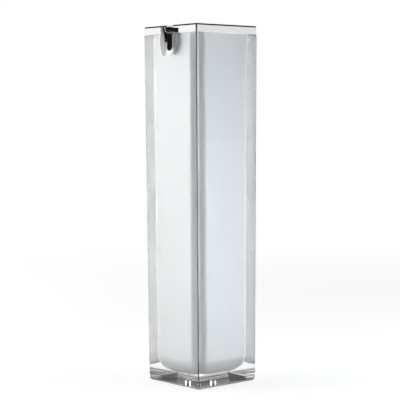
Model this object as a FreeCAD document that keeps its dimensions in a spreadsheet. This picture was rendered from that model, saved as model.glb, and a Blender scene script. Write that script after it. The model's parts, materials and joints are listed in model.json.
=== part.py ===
import FreeCAD, Part
import math
import os
import re

import Sketcher
from FreeCAD import Placement, Rotation, Vector

# A square airless pump bottle: a clear acrylic outer shell over a satin liner, a round
# reservoir with a follower piston inside it, a pump engine under a push button, and a chromed
# top frame with a side spout. Millimetres, Z up, origin at the middle of the underside,
# spout towards minus X.

doc = FreeCAD.newDocument("AirlessPumpBottle")

# Driving sizes. Radii are named as such, other sizes are full lengths.
SIZES = {
    # whole bottle
    "top_width": "33.0",
    "foot_width": "31.4",
    "total_height": "147.0",
    "frame_height": "3.4",
    # clear shell
    "shell_wall": "2.8",
    "base_thick": "4.8",
    "edge_break": "0.3",
    "foot_break": "1.0",
    "gate_radius": "1.5",
    "gate_depth": "1.0",
    # satin liner
    "liner_corner": "3.6",
    "liner_foot": "6.2",
    "liner_wall": "1.1",
    "liner_floor": "3.5",
    "rebate_step": "0.5",
    "rebate_height": "2.0",
    # slot for the spout's neck and its bezel
    "slot_radius": "2.35",
    "slot_drop": "8.3",
    "bezel_wall": "0.55",
    "bezel_proud": "0.2",
    "bezel_sill": "1.0",
    # top frame and push button
    "opening_inset": "0.3",
    "button_gap": "0.3",
    "button_corner": "1.6",
    "button_thick": "0.8",
    "button_sink": "0.2",
    "button_break": "0.2",
    "frame_break": "0.5",
    "notch_gap": "0.35",
    # actuator core under the button
    "core_inset": "0.15",
    "core_thick": "2.9",
    "skirt_wall": "1.2",
    "skirt_depth": "10.0",
    "boss_wall": "2.0",
    "boss_depth": "9.0",
    "riser_radius": "0.8",
    "stroke": "5.5",
    # spout
    "neck_gap": "0.2",
    "neck_height": "2.2",
    "neck_grip": "3.85",
    "lip_width": "4.5",
    "lip_height": "11.3",
    "lip_thick": "1.1",
    "lip_reach": "4.2",
    "lip_head": "1.7",
    "lip_tip": "0.7",
    "lip_lean": "0.3",
    "tip_curl": "0.6",
    "neck_blend": "0.6",
    "tube_radius": "0.75",
    "tube_bore_radius": "0.45",
    "tube_grip": "3.0",
    "tube_end_gap": "1.9",
    "outlet_radius": "0.5",
    "outlet_set": "0.75",
    # stem and outlet valve
    "stem_radius": "2.2",
    "socket_depth": "4.2",
    "shoulder_gap": "0.95",
    "shoulder_height": "1.6",
    "outlet_ball_radius": "1.3",
    "outlet_room": "0.3",
    "outlet_lift": "0.8",
    # pump engine
    "bore_radius": "4.2",
    "housing_wall": "0.8",
    "flange_radius": "6.4",
    "flange_thick": "1.2",
    "guide_thick": "1.6",
    "guide_wall": "0.9",
    "guide_grip": "2.0",
    "piston_height": "4.0",
    "piston_waist": "0.75",
    "lip_band": "0.8",
    "cup_height": "2.8",
    "cup_gap": "0.45",
    "cup_floor": "0.7",
    "spring_length": "12.6",
    "spring_gap": "0.6",
    "wire_radius": "0.35",
    "end_pitch": "1.25",
    "cage_thick": "1.6",
    "cage_hole_radius": "0.7",
    "flow_hole_radius": "0.5",
    "flow_web": "0.7",
    "inlet_ball_radius": "1.6",
    "inlet_room": "0.6",
    "inlet_lift": "0.9",
    "throat_length": "1.4",
    "nose_shoulder": "1.0",
    "nose_wall": "1.5",
    # reservoir, its closure and its base
    "reservoir_gap": "0.35",
    "reservoir_wall": "0.9",
    "turret_height": "13.2",
    "collar_thick": "1.5",
    "plug_depth": "3.3",
    "plug_wall": "1.2",
    "gasket_thick": "0.8",
    "gasket_inset": "0.1",
    "retainer_thick": "1.6",
    "retainer_gap": "0.2",
    "air_hole_radius": "1.0",
    "air_hole_inset": "2.45",
    "stand_height": "2.3",
    "stand_inset": "0.9",
    "stand_wall": "1.6",
    "disc_thick": "1.2",
    "base_plug_height": "1.4",
    "vent_radius": "1.0",
    "vent_notch": "0.8",
    # follower piston
    "follower_height": "9.6",
    "follower_wall": "1.1",
    "follower_rim": "4.35",
    "follower_waist": "0.45",
    "follower_band": "1.2",
    # fits and clearances
    "running_fit": "0.05",
    "guide_fit": "0.1",
    "seat_gap": "0.03",
    "rest_gap": "0.3",
    "lift_gap": "0.1",
    "press_gap": "0.6",
    "overrun": "5.0",
}
# Shares of a length: how high the leaf is widest, how much of the tip's curl its back follows,
# and how wide a valve's throat is beside its ball
SHARES = {
    "waist_share": "0.52",
    "curl_share": "0.6",
    "seat_share": "0.67",
}
# Turns of the spring, all and at each closed end, the flats of its wire, and the points on each
# turn at which its gap is measured
SPRING_TURNS = 4.5
END_TURNS = 1.0
WIRE_FLATS = 6
TURN_POINTS = 48

# Sizes and levels that follow from the driving ones
FOLLOWS = {
    "shell_top": "total_height - frame_height",
    "draft": "(top_width - foot_width) / 2 / shell_top",
    "outer_half": "top_width / 2",
    "cavity_half": "top_width / 2 - shell_wall",
    "cavity_foot_half": "cavity_half - draft * (shell_top - base_thick)",
    "floor_top": "base_thick + liner_floor",
    "inner_half": "cavity_half - liner_wall",
    "inner_foot_half": "inner_half - draft * (shell_top - floor_top)",
    "inner_corner": "liner_corner - liner_wall",
    "opening_half": "inner_half - opening_inset",
    "rebate_half": "inner_half + rebate_step",
    "rebate_low": "shell_top - rebate_height",
    "slot_middle": "shell_top - slot_drop + slot_radius",
    "sill_middle": "slot_middle + bezel_sill",
    "bezel_inner_radius": "slot_radius - bezel_wall",
    "neck_width": "2 * (bezel_inner_radius - neck_gap)",
    "notch_width": "neck_width + 2 * notch_gap",
    "button_top": "total_height - button_sink",
    "button_half": "opening_half - button_gap",
    "core_top": "button_top - button_thick",
    "core_half": "button_half - core_inset",
    "core_corner": "button_corner - core_inset",
    "core_low": "core_top - core_thick",
    "skirt_low": "core_top - skirt_depth",
    "skirt_half": "core_half - skirt_wall",
    "boss_low": "core_top - boss_depth",
    "boss_radius": "stem_radius + boss_wall",
    "neck_low": "core_top - neck_height",
    "neck_axis": "core_top - neck_height / 2",
    "neck_root": "core_half - neck_grip",
    "tube_root": "neck_root - tube_grip",
    "lip_top": "core_top - lip_lean",
    "lip_low": "lip_top - lip_height",
    "lip_waist": "lip_low + lip_height * waist_share",
    "lip_front": "outer_half + lip_reach",
    "lip_back": "lip_front - lip_thick",
    "tip_front": "lip_front - tip_curl",
    "tip_back": "lip_back - tip_curl * curl_share",
    "tube_end": "lip_back - tube_end_gap",
    "outlet_at": "tube_end + outlet_set",
    "stem_top": "boss_low + socket_depth",
    "stem_bore_radius": "outlet_ball_radius * seat_share",
    "outlet_room_radius": "outlet_ball_radius + outlet_room",
    "outlet_middle": "stem_top - lift_gap - outlet_lift - outlet_ball_radius",
    "outlet_seat": "outlet_middle + stem_bore_radius - sqrt(2) * (outlet_ball_radius + seat_gap)",
    "outlet_seat_top": "outlet_seat + outlet_room_radius - stem_bore_radius",
    "guide_top": "boss_low - stroke - press_gap",
    "guide_under": "guide_top - guide_thick",
    "flange_low": "guide_under - flange_thick",
    "shoulder_top": "guide_under - rest_gap",
    "shoulder_low": "shoulder_top - shoulder_height",
    "piston_low": "shoulder_low - piston_height",
    "piston_radius": "bore_radius - running_fit",
    "shoulder_radius": "piston_radius - shoulder_gap",
    "cup_radius": "piston_radius - cup_gap",
    "spring_radius": "piston_radius - spring_gap - wire_radius",
    "cup_low": "piston_low - cup_height",
    "stem_low": "cup_low + cup_floor",
    "cage_top": "cup_low - spring_length",
    "cage_low": "cage_top - cage_thick",
    "housing_radius": "bore_radius + housing_wall",
    "flow_hole_offset": "cage_hole_radius + flow_web + flow_hole_radius",
    "inlet_throat_radius": "inlet_ball_radius * seat_share",
    "inlet_room_radius": "inlet_ball_radius + inlet_room",
    "inlet_middle": "cage_low - lift_gap - inlet_lift - inlet_ball_radius",
    "throat_top": "inlet_middle + inlet_throat_radius - sqrt(2) * (inlet_ball_radius + seat_gap)",
    "seat_top": "throat_top + inlet_room_radius - inlet_throat_radius",
    "nose_low": "throat_top - throat_length",
    "nose_radius": "inlet_throat_radius + nose_wall",
    "guide_inner_radius": "flange_radius + guide_fit",
    "guide_radius": "guide_inner_radius + guide_wall",
    "collar_top": "flange_low - turret_height",
    "collar_low": "collar_top - collar_thick",
    "tube_top": "collar_low - gasket_thick",
    "plug_low": "tube_top - plug_depth",
    "reservoir_radius": "min(inner_half; inner_foot_half) - reservoir_gap",
    "well_radius": "reservoir_radius - reservoir_wall",
    "plug_radius": "well_radius - running_fit",
    "retainer_top": "collar_top + retainer_thick",
    "retainer_hole_radius": "flange_radius + retainer_gap",
    "air_hole_offset": "retainer_half - air_hole_inset",
    "retainer_half": "inner_half - draft * (shell_top - collar_top) - running_fit",
    "stand_radius": "min(inner_half; inner_foot_half) - inner_corner - stand_inset",
    "disc_low": "floor_top + stand_height",
    "disc_top": "disc_low + disc_thick",
    "base_plug_top": "disc_top + base_plug_height",
    "follower_low": "base_plug_top + rest_gap",
    "follower_top": "follower_low + follower_height",
    "follower_radius": "well_radius - running_fit",
    "follower_well_radius": "follower_radius - follower_rim",
    "follower_travel": "plug_low - rest_gap - follower_top",
}

sheet = doc.addObject("Spreadsheet::Sheet", "Sizes")
for row, (alias, value) in enumerate(SIZES.items(), 1):
    sheet.set(f"A{row}", alias)
    sheet.set(f"B{row}", value)
    sheet.setAlias(f"B{row}", alias)
doc.recompute()


def spelled(text):
    """The expression with each name written out as cells of the table."""

    def swap(found):
        word = found.group(0)
        if word in FOLLOWS:
            return f"({spelled(FOLLOWS[word])})"
        if word in SIZES:
            return f"<<Sizes>>.{word}"
        return SHARES.get(word, word)

    return re.sub(r"[A-Za-z_]\w*", swap, text)


def value(text):
    """The number that an expression of the table's names gives now."""
    return float(sheet.evalExpression(spelled(text)))


def bind(item, **sizes):
    """Binds properties of an object to expressions of the table's names."""
    for name, text in sizes.items():
        item.setExpression(name, spelled(text))


def body_of(name):
    body = doc.addObject("PartDesign::Body", name)
    body.Label = name
    return body


def sketch_on(body, name, plane):
    sketch = body.newObject("Sketcher::SketchObject", name)
    support = [part for part in body.Origin.OriginFeatures if part.Role == plane][0]
    sketch.AttachmentSupport = [(support, "")]
    sketch.MapMode = "FlatFace"
    return sketch


def pin(sketch, edge, end, across, up):
    """Holds one point of a sketch at the two expressions, from the sketch's origin."""
    for kind, axis, text in (("DistanceX", -2, across), ("DistanceY", -1, up)):
        if text == "0":
            sketch.addConstraint(Sketcher.Constraint("PointOnObject", edge, end, axis))
            continue
        number = sketch.addConstraint(Sketcher.Constraint(kind, -1, 1, edge, end, value(text)))
        sketch.setExpression(f"Constraints[{number}]", spelled(text))


def outline(sketch, corners):
    """Draws a closed outline. A corner is (across, up), or (across, up, radius, side) where the
    edge that leaves it is an arc, whose middle bulges to the left of the way on with side 1."""
    spots = [Vector(value(corner[0]), value(corner[1]), 0) for corner in corners]
    ends = []
    for corner, start, stop in zip(corners, spots, spots[1:] + spots[:1]):
        if len(corner) == 2:
            edge = sketch.addGeometry(Part.LineSegment(start, stop), False)
            ends.append((edge, 1, 2))
            continue
        radius, side = value(corner[2]), corner[3]
        chord = stop - start
        left = Vector(-chord.y, chord.x, 0).normalize()
        depth = math.sqrt(max(radius**2 - (chord.Length / 2) ** 2, 0))
        middle = (start + stop) / 2 - left * depth * side
        first, last = (stop, start) if side == 1 else (start, stop)
        angles = [math.atan2(spot.y - middle.y, spot.x - middle.x) for spot in (first, last)]
        circle = Part.Circle(middle, Vector(0, 0, 1), radius)
        edge = sketch.addGeometry(Part.ArcOfCircle(circle, *angles), False)
        ends.append((edge, 2, 1) if side == 1 else (edge, 1, 2))
    for (edge, _, leaves), (follower, enters, _) in zip(ends, ends[1:] + ends[:1]):
        sketch.addConstraint(Sketcher.Constraint("Coincident", edge, leaves, follower, enters))
    for (edge, enters, _), corner in zip(ends, corners):
        pin(sketch, edge, enters, corner[0], corner[1])
        if len(corner) == 4:
            number = sketch.addConstraint(Sketcher.Constraint("Radius", edge, value(corner[2])))
            sketch.setExpression(f"Constraints[{number}]", spelled(corner[2]))


def rounded_square(half, corner):
    """Corners of a square outline with rounded corners, taken anticlockwise."""
    flat = f"({half}) - ({corner})"
    low, less = f"-({half})", f"-({flat})"
    return [
        (half, less),
        (half, flat, corner, -1),
        (flat, half),
        (less, half, corner, -1),
        (low, flat),
        (low, less, corner, -1),
        (less, low),
        (flat, low, corner, -1),
    ]


def cut_square(half, cut):
    """Corners of a square outline whose corners are cut off, taken anticlockwise."""
    flat = f"({half}) - ({cut})"
    low, less = f"-({half})", f"-({flat})"
    return [
        (half, less),
        (half, flat),
        (flat, half),
        (less, half),
        (low, flat),
        (low, less),
        (less, low),
        (flat, low),
    ]


def disc(sketch, across, up, radius):
    edge = sketch.addGeometry(
        Part.Circle(Vector(value(across), value(up), 0), Vector(0, 0, 1), value(radius)), False
    )
    pin(sketch, edge, 3, across, up)
    number = sketch.addConstraint(Sketcher.Constraint("Radius", edge, value(radius)))
    sketch.setExpression(f"Constraints[{number}]", spelled(radius))


def pad(body, name, sketch, start, length):
    """Pads a sketch that lies on the level or upright plane of its start, outwards."""
    sketch.setExpression("AttachmentOffset.Base.z", spelled(start))
    feature = body.newObject("PartDesign::Pad", name)
    feature.Profile = sketch
    bind(feature, Length=length)
    return feature


def pocket(body, name, sketch, start, length):
    """Cuts a sketch's outline from its start level on, towards the plane's own normal."""
    doc.recompute()
    before = body.Shape.Volume
    sketch.setExpression("AttachmentOffset.Base.z", spelled(start))
    feature = body.newObject("PartDesign::Pocket", name)
    feature.Profile = sketch
    feature.Reversed = True
    bind(feature, Length=length)
    doc.recompute()
    if not feature.Shape.Volume < before:
        raise RuntimeError(f"{name} cut nothing")
    return feature


def turned(name, corners):
    """A round piece, its half section turned about Z."""
    body = body_of(name)
    sketch = sketch_on(body, f"{name}_section", "XZ_Plane")
    outline(sketch, corners)
    feature = body.newObject("PartDesign::Revolution", f"{name}_turn")
    feature.Profile = sketch
    feature.ReferenceAxis = (sketch, ["V_Axis"])
    feature.Angle = 360
    return body


def tapered(name, low_half, high_half, low, high):
    """A square block with drafted sides between two levels."""
    block = doc.addObject("Part::Wedge", name)
    bind(
        block,
        Xmin=f"-({low_half})",
        Xmax=low_half,
        Zmin=f"-({low_half})",
        Zmax=low_half,
        X2min=f"-({high_half})",
        X2max=high_half,
        Z2min=f"-({high_half})",
        Z2max=high_half,
        Ymin=low,
        Ymax=high,
    )
    block.Placement = Placement(Vector(0, 0, 0), Rotation(Vector(1, 0, 0), 90))
    doc.recompute()
    return block


def edges_of(item):
    """The numbers of a drafted block's upright edges and of those round its foot."""
    low = item.Shape.BoundBox.ZMin
    upright, foot = [], []
    for number, edge in enumerate(item.Shape.Edges, 1):
        heights = [corner.Z for corner in edge.Vertexes]
        if max(heights) - min(heights) > item.Shape.BoundBox.ZLength / 2:
            upright.append(number)
        elif max(heights) - low < item.Shape.BoundBox.ZLength / 2:
            foot.append(number)
    return upright, foot


def rounded_block(name, low_half, high_half, low, high, corner, foot):
    """A drafted block with rounded upright edges and a larger round along its foot."""
    block = tapered(f"{name}_block", low_half, high_half, low, high)
    rounded = doc.addObject("Part::Fillet", name)
    rounded.Base = block
    upright, round_foot = edges_of(block)
    corner_radius, foot_radius = value(corner), value(foot)
    rounded.Edges = [(number, corner_radius, corner_radius) for number in upright] + [
        (number, foot_radius, foot_radius) for number in round_foot
    ]
    doc.recompute()
    return rounded


def cut(name, base, tool):
    result = doc.addObject("Part::Cut", name)
    result.Base = base
    result.Tool = tool
    doc.recompute()
    if not result.Shape.Volume < base.Shape.Volume:
        raise RuntimeError(f"{name} cut nothing")
    return result


nodes = {}

# Slot in the spout's wall: round at the foot and open at the top, through shell and liner.
slot = body_of("slot_core")
slot_sketch = sketch_on(slot, "slot_outline", "YZ_Plane")
outline(
    slot_sketch,
    [
        ("-slot_radius", "shell_top + overrun"),
        ("-slot_radius", "slot_middle", "slot_radius", -1),
        ("0", "slot_middle - slot_radius", "slot_radius", -1),
        ("slot_radius", "slot_middle"),
        ("slot_radius", "shell_top + overrun"),
    ],
)
slot_depth = "overrun + shell_wall + liner_wall + overrun"
pad(slot, "slot_pad", slot_sketch, "-(outer_half + overrun)", slot_depth)

# Liner: a drafted cup with rounded corners, rebated at its mouth for the frame's lip.
liner_core = rounded_block(
    "liner_core", "cavity_foot_half", "cavity_half", "base_thick", "shell_top", "liner_corner", "liner_foot"
)
liner_hollow = rounded_block(
    "liner_hollow",
    "inner_foot_half",
    "inner_half + draft * overrun",
    "floor_top",
    "shell_top + overrun",
    "inner_corner",
    "inner_corner",
)
rebate = body_of("liner_rebate")
rebate_sketch = sketch_on(rebate, "rebate_outline", "XY_Plane")
outline(rebate_sketch, rounded_square("rebate_half", "inner_corner + rebate_step"))
pad(rebate, "rebate_pad", rebate_sketch, "rebate_low", "rebate_height + overrun")
liner_cup = cut("liner_cup", liner_core, liner_hollow)
liner_mouth = cut("liner_mouth", liner_cup, rebate)
nodes["inner_liner"] = cut("inner_liner", liner_mouth, slot)

# Clear shell: a drafted block with polished edges around the liner's own shape.
shell_block = body_of("shell_block")
shell_base = shell_block.newObject("PartDesign::AdditiveWedge", "shell_wedge")
bind(
    shell_base,
    Xmin="-foot_width / 2",
    Xmax="foot_width / 2",
    Zmin="-foot_width / 2",
    Zmax="foot_width / 2",
    X2min="-outer_half",
    X2max="outer_half",
    Z2min="-outer_half",
    Z2max="outer_half",
    Ymin="0",
    Ymax="shell_top",
)
shell_base.Placement = Placement(Vector(0, 0, 0), Rotation(Vector(1, 0, 0), 90))
doc.recompute()
shell_foot = shell_block.newObject("PartDesign::Chamfer", "shell_foot")
shell_foot.Base = (shell_base, [f"Edge{number}" for number in edges_of(shell_base)[1]])
bind(shell_foot, Size="foot_break")
doc.recompute()
shell_edges = shell_block.newObject("PartDesign::Chamfer", "shell_edges")
rising = [
    f"Edge{number}"
    for number, edge in enumerate(shell_foot.Shape.Edges, 1)
    if edge.BoundBox.ZLength > value("foot_break") / 2
]
shell_edges.Base = (shell_foot, rising)
bind(shell_edges, Size="edge_break")
doc.recompute()
gate = doc.addObject("Part::Cylinder", "gate_recess")
bind(gate, Radius="gate_radius", Height="gate_depth + overrun")
gate.setExpression("Placement.Base.z", spelled("-overrun"))
shell_cup = cut("shell_cup", shell_block, liner_core)
shell_slotted = cut("shell_slotted", shell_cup, slot)
nodes["outer_shell"] = cut("outer_shell", shell_slotted, gate)

# Bezel: a thin lining of the slot with a thicker sill, a little proud of the wall.
bezel = body_of("slot_bezel")
bezel_sketch = sketch_on(bezel, "bezel_outline", "YZ_Plane")
outline(
    bezel_sketch,
    [
        ("-slot_radius", "shell_top"),
        ("-slot_radius", "slot_middle", "slot_radius", -1),
        ("0", "slot_middle - slot_radius", "slot_radius", -1),
        ("slot_radius", "slot_middle"),
        ("slot_radius", "shell_top"),
        ("bezel_inner_radius", "shell_top"),
        ("bezel_inner_radius", "sill_middle", "bezel_inner_radius", 1),
        ("0", "sill_middle - bezel_inner_radius", "bezel_inner_radius", 1),
        ("-bezel_inner_radius", "sill_middle"),
        ("-bezel_inner_radius", "shell_top"),
    ],
)
bezel_depth = "bezel_proud + shell_wall + liner_wall"
pad(bezel, "bezel_pad", bezel_sketch, "-(outer_half + bezel_proud)", bezel_depth)
nodes["slot_bezel"] = bezel

# Top frame: a square ring on the shell's rim, with a lip in the liner's rebate and a notch
# for the spout's neck.
frame = body_of("cap_frame")
ring_sketch = sketch_on(frame, "frame_outline", "XY_Plane")
outline(ring_sketch, cut_square("outer_half", "edge_break"))
outline(ring_sketch, rounded_square("opening_half", "button_corner + button_gap"))
ring_pad = pad(frame, "frame_pad", ring_sketch, "shell_top", "frame_height")
lip_sketch = sketch_on(frame, "frame_lip_outline", "XY_Plane")
outline(lip_sketch, rounded_square("rebate_half - running_fit", "inner_corner + rebate_step"))
outline(lip_sketch, rounded_square("opening_half", "button_corner + button_gap"))
pad(frame, "frame_lip", lip_sketch, "rebate_low + lift_gap", "rebate_height - lift_gap")
doc.recompute()
notch_sketch = sketch_on(frame, "notch_outline", "YZ_Plane")
outline(
    notch_sketch,
    [
        ("-notch_width / 2", "shell_top"),
        ("notch_width / 2", "shell_top"),
        ("notch_width / 2", "total_height + overrun"),
        ("-notch_width / 2", "total_height + overrun"),
    ],
)
pocket(frame, "frame_notch", notch_sketch, "-(outer_half + overrun)", "overrun + outer_half")
lip_notch_sketch = sketch_on(frame, "lip_notch_outline", "YZ_Plane")
outline(
    lip_notch_sketch,
    [
        ("-slot_radius - running_fit", "rebate_low - overrun"),
        ("slot_radius + running_fit", "rebate_low - overrun"),
        ("slot_radius + running_fit", "shell_top"),
        ("-slot_radius - running_fit", "shell_top"),
    ],
)
lip_notch = pocket(frame, "lip_notch", lip_notch_sketch, "-(outer_half + overrun)", "overrun + outer_half")
top_edges = []
for number, edge in enumerate(lip_notch.Shape.Edges, 1):
    reach = min(max(abs(corner.X), abs(corner.Y)) for corner in edge.Vertexes)
    level = min(corner.Z for corner in edge.Vertexes)
    if reach > value("outer_half - edge_break / 2") and level > value("total_height - frame_break"):
        top_edges.append(f"Edge{number}")
frame_top = frame.newObject("PartDesign::Chamfer", "frame_top")
frame_top.Base = (lip_notch, top_edges)
bind(frame_top, Size="frame_break")
nodes["cap_frame"] = frame

# Push button: a thin rounded square plate that fills the frame's opening.
button = body_of("button_plate")
button_sketch = sketch_on(button, "button_outline", "XY_Plane")
outline(button_sketch, rounded_square("button_half", "button_corner"))
button_pad = pad(button, "button_pad", button_sketch, "core_top", "button_thick")
doc.recompute()
rim_edges = [
    f"Edge{number}"
    for number, edge in enumerate(button_pad.Shape.Edges, 1)
    if min(corner.Z for corner in edge.Vertexes) > value("button_top - button_thick / 2")
]
button_rim = button.newObject("PartDesign::Chamfer", "button_rim")
button_rim.Base = (button_pad, rim_edges)
bind(button_rim, Size="button_break")
nodes["button_plate"] = button

# Actuator core: plate with a square skirt, a boss for the stem, a socket for the spout's neck
# and the channel between them.
core = body_of("actuator_core")
core_sketch = sketch_on(core, "core_outline", "XY_Plane")
outline(core_sketch, rounded_square("core_half", "core_corner"))
pad(core, "core_plate", core_sketch, "core_low", "core_thick")
skirt_sketch = sketch_on(core, "skirt_outline", "XY_Plane")
outline(skirt_sketch, rounded_square("core_half", "core_corner"))
outline(skirt_sketch, rounded_square("skirt_half", "core_corner / 2"))
pad(core, "core_skirt", skirt_sketch, "skirt_low", "skirt_depth")
boss_sketch = sketch_on(core, "boss_outline", "XY_Plane")
disc(boss_sketch, "0", "0", "boss_radius")
pad(core, "core_boss", boss_sketch, "boss_low", "core_low - boss_low + core_thick / 2")
socket_sketch = sketch_on(core, "socket_outline", "XY_Plane")
disc(socket_sketch, "0", "0", "stem_radius")
pocket(core, "core_socket", socket_sketch, "boss_low - overrun", "overrun + socket_depth")
riser_sketch = sketch_on(core, "riser_outline", "XY_Plane")
disc(riser_sketch, "0", "0", "riser_radius")
pocket(core, "core_riser", riser_sketch, "boss_low", "neck_axis - boss_low")
neck_room_sketch = sketch_on(core, "neck_room_outline", "YZ_Plane")
outline(
    neck_room_sketch,
    [
        ("-neck_width / 2", "neck_low"),
        ("neck_width / 2", "neck_low"),
        ("neck_width / 2", "core_top + overrun"),
        ("-neck_width / 2", "core_top + overrun"),
    ],
)
pocket(core, "neck_room", neck_room_sketch, "-(core_half + overrun)", "core_half + overrun - neck_root")
tube_room_sketch = sketch_on(core, "tube_room_outline", "YZ_Plane")
disc(tube_room_sketch, "0", "neck_axis", "tube_radius")
tube_depth = "neck_root + tube_radius - tube_root"
pocket(core, "tube_room", tube_room_sketch, "-(neck_root + tube_radius)", tube_depth)
channel_sketch = sketch_on(core, "channel_outline", "YZ_Plane")
disc(channel_sketch, "0", "neck_axis", "tube_bore_radius")
pocket(core, "core_channel", channel_sketch, "-(tube_root + tube_radius)", "tube_root + tube_radius")
nodes["actuator_core"] = core

# Spout: the side view of neck and lip, kept where the front view of leaf and neck covers it.
side = body_of("spout_side")
side_sketch = sketch_on(side, "spout_side_outline", "XZ_Plane")
front_bow = "((lip_waist - lip_low) ^ 2 + tip_curl ^ 2) / (2 * tip_curl)"
back_bow = "((lip_waist - lip_low) ^ 2 + (lip_back - tip_back) ^ 2) / (2 * (lip_back - tip_back))"
head_bow = "((lip_top - lip_waist) ^ 2 + lip_lean ^ 2) / (2 * lip_lean)"
outline(
    side_sketch,
    [
        ("-neck_root", "neck_low"),
        ("-neck_root", "core_top"),
        ("-outer_half", "core_top"),
        ("-(lip_front - lip_lean)", "lip_top", head_bow, -1),
        ("-lip_front", "lip_waist", front_bow, -1),
        ("-tip_front", "lip_low"),
        ("-tip_back", "lip_low", back_bow, 1),
        ("-lip_back", "lip_waist"),
        ("-lip_back", "neck_low - neck_blend", "neck_blend", 1),
        ("-(lip_back - neck_blend)", "neck_low"),
    ],
)
side_pad = side.newObject("PartDesign::Pad", "spout_side_pad")
side_pad.Profile = side_sketch
side_pad.Midplane = True
bind(side_pad, Length="lip_width + overrun")
front = body_of("spout_front")
leaf_sketch = sketch_on(front, "leaf_outline", "YZ_Plane")
upper_bow = "((lip_top - lip_waist) ^ 2 + ((lip_width - lip_head) / 2) ^ 2) / (lip_width - lip_head)"
lower_bow = "((lip_waist - lip_low) ^ 2 + ((lip_width - lip_tip) / 2) ^ 2) / (lip_width - lip_tip)"
outline(
    leaf_sketch,
    [
        ("-lip_head / 2", "lip_top + lip_lean"),
        ("-lip_head / 2", "lip_top", upper_bow, -1),
        ("-lip_width / 2", "lip_waist", lower_bow, -1),
        ("-lip_tip / 2", "lip_low"),
        ("lip_tip / 2", "lip_low", lower_bow, -1),
        ("lip_width / 2", "lip_waist", upper_bow, -1),
        ("lip_head / 2", "lip_top"),
        ("lip_head / 2", "lip_top + lip_lean"),
    ],
)
leaf_depth = "overrun + lip_front - tip_back + neck_blend"
pad(front, "leaf_pad", leaf_sketch, "-(lip_front + overrun)", leaf_depth)
neck_sketch = sketch_on(front, "neck_outline", "YZ_Plane")
outline(
    neck_sketch,
    [
        ("-neck_width / 2", "neck_low - neck_blend"),
        ("neck_width / 2", "neck_low - neck_blend"),
        ("neck_width / 2", "core_top"),
        ("-neck_width / 2", "core_top"),
    ],
)
pad(front, "neck_pad", neck_sketch, "-lip_back", "lip_back - neck_root")
spout_form = doc.addObject("Part::Common", "spout_form")
spout_form.Base = side
spout_form.Tool = front
doc.recompute()
spout_channel = body_of("spout_channel")
bore_sketch = sketch_on(spout_channel, "spout_bore_outline", "YZ_Plane")
disc(bore_sketch, "0", "neck_axis", "tube_radius")
pad(spout_channel, "spout_bore", bore_sketch, "-tube_end", "tube_end - neck_root + overrun")
way_sketch = sketch_on(spout_channel, "spout_way_outline", "YZ_Plane")
disc(way_sketch, "0", "neck_axis", "tube_bore_radius")
way_end = "outlet_at + outlet_radius / 4"
pad(spout_channel, "spout_way", way_sketch, f"-({way_end})", f"{way_end} - neck_root")
outlet_sketch = sketch_on(spout_channel, "outlet_outline", "XY_Plane")
disc(outlet_sketch, "-outlet_at", "0", "outlet_radius")
outlet_rise = "neck_axis - neck_low + tube_bore_radius / 2"
pad(spout_channel, "spout_outlet", outlet_sketch, "neck_low - overrun", f"overrun + {outlet_rise}")
doc.recompute()
nodes["spout"] = cut("spout", spout_form, spout_channel)

# Nozzle tube: carries the product from the core through the neck.
tube = body_of("nozzle_tube")
tube_sketch = sketch_on(tube, "tube_outline", "YZ_Plane")
disc(tube_sketch, "0", "neck_axis", "tube_radius")
disc(tube_sketch, "0", "neck_axis", "tube_bore_radius")
pad(tube, "tube_pad", tube_sketch, "-tube_end", "tube_end - tube_root")
nodes["nozzle_tube"] = tube

# Stem: hollow, with the outlet valve's seat and room at its top.
nodes["stem"] = turned(
    "stem",
    [
        ("stem_bore_radius", "stem_low"),
        ("stem_radius", "stem_low"),
        ("stem_radius", "shoulder_low"),
        ("shoulder_radius", "shoulder_low"),
        ("shoulder_radius", "shoulder_top"),
        ("stem_radius", "shoulder_top"),
        ("stem_radius", "stem_top"),
        ("outlet_room_radius", "stem_top"),
        ("outlet_room_radius", "outlet_seat_top"),
        ("stem_bore_radius", "outlet_seat"),
    ],
)

# Pump piston: a soft ring with two sealing lips, held between the stem's shoulder and cup.
nodes["pump_piston"] = turned(
    "pump_piston",
    [
        ("stem_radius", "piston_low"),
        ("piston_radius", "piston_low"),
        ("piston_radius", "piston_low + lip_band"),
        ("piston_radius - piston_waist", "piston_low + lip_band + piston_waist"),
        ("piston_radius - piston_waist", "shoulder_low - lip_band - piston_waist"),
        ("piston_radius", "shoulder_low - lip_band"),
        ("piston_radius", "shoulder_low"),
        ("stem_radius", "shoulder_low"),
    ],
)

# Spring cup: closes the stem's foot and takes the spring's upper end.
nodes["spring_cup"] = turned(
    "spring_cup",
    [
        ("stem_bore_radius", "cup_low"),
        ("cup_radius", "cup_low"),
        ("cup_radius", "piston_low"),
        ("stem_radius", "piston_low"),
        ("stem_radius", "stem_low"),
        ("stem_bore_radius", "stem_low"),
    ],
)

# Pump housing: cylinder with a top flange, a ledge for the ball cage and a conical inlet seat.
nodes["pump_housing"] = turned(
    "pump_housing",
    [
        ("inlet_throat_radius", "nose_low"),
        ("nose_radius", "nose_low"),
        ("housing_radius", "cage_low - nose_shoulder"),
        ("housing_radius", "flange_low"),
        ("flange_radius", "flange_low"),
        ("flange_radius", "guide_under"),
        ("bore_radius", "guide_under"),
        ("bore_radius", "cage_low"),
        ("inlet_room_radius", "cage_low"),
        ("inlet_room_radius", "seat_top"),
        ("inlet_throat_radius", "throat_top"),
    ],
)

# Stem guide: a cap over the housing's flange that the stem slides through.
nodes["stem_guide"] = turned(
    "stem_guide",
    [
        ("stem_radius + guide_fit", "guide_under"),
        ("guide_inner_radius", "guide_under"),
        ("guide_inner_radius", "flange_low - guide_grip"),
        ("guide_radius", "flange_low - guide_grip"),
        ("guide_radius", "guide_top"),
        ("stem_radius + guide_fit", "guide_top"),
    ],
)

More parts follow.
